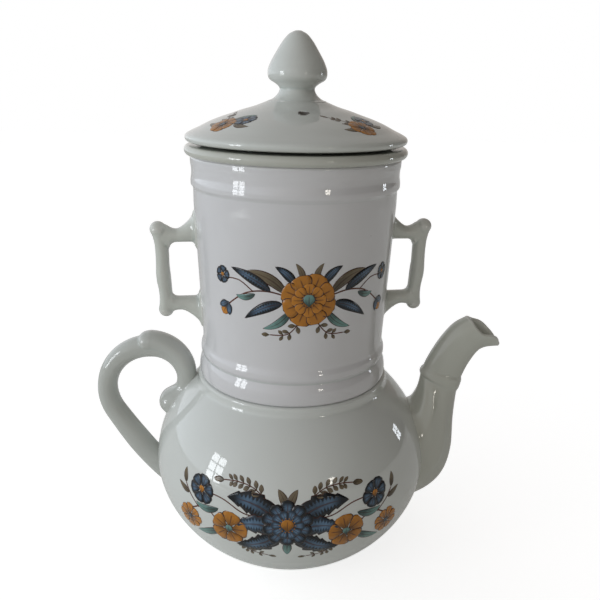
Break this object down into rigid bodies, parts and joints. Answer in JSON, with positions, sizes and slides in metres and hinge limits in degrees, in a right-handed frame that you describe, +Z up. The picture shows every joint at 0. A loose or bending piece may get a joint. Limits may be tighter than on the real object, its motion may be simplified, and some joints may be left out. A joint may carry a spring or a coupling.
{
  "type": "drip coffee pot",
  "caption": "White glazed porcelain drip coffee pot: round pot with spout and scroll handle, filter cylinder with ear handles, spreader and domed lid with acorn knob.",
  "frame": {"origin": "centre of the foot ring's flat face, on the surface that the pot stands on", "axes": "+Z up along the pot's axis, +X towards the spout, -X towards the pot's handle"},
  "size_m": [0.2385, 0.1614, 0.2974],
  "materials": {
    "pot_porcelain": "glossy clear glaze on white porcelain, with an onglaze floral band",
    "filter_porcelain": "glossy clear glaze on white porcelain, with an onglaze floral spray",
    "spreader_porcelain": "glossy clear glaze on white porcelain",
    "lid_porcelain": "glossy clear glaze on white porcelain, with onglaze floral sprays"
  },
  "bodies": {
    "pot": {"pot_body": "pot_porcelain", "pot_spout": "pot_porcelain", "pot_handle": "pot_porcelain"},
    "filter": {"filter_body": "filter_porcelain", "filter_handle_left": "filter_porcelain", "filter_handle_right": "filter_porcelain"},
    "spreader": {"spreader": "spreader_porcelain"},
    "lid": {"lid": "lid_porcelain", "lid_knob": "lid_porcelain"}
  },
  "joints": [
    {"name": "filter_lift", "type": "slide", "parent": "pot", "child": "filter", "axis": [0, 0, 1], "range_m": [0, 0.06]},
    {"name": "spreader_lift", "type": "slide", "parent": "filter", "child": "spreader", "axis": [0, 0, 1], "range_m": [0, 0.06]},
    {"name": "lid_lift", "type": "slide", "parent": "spreader", "child": "lid", "axis": [0, 0, 1], "range_m": [0, 0.05]}
  ]
}
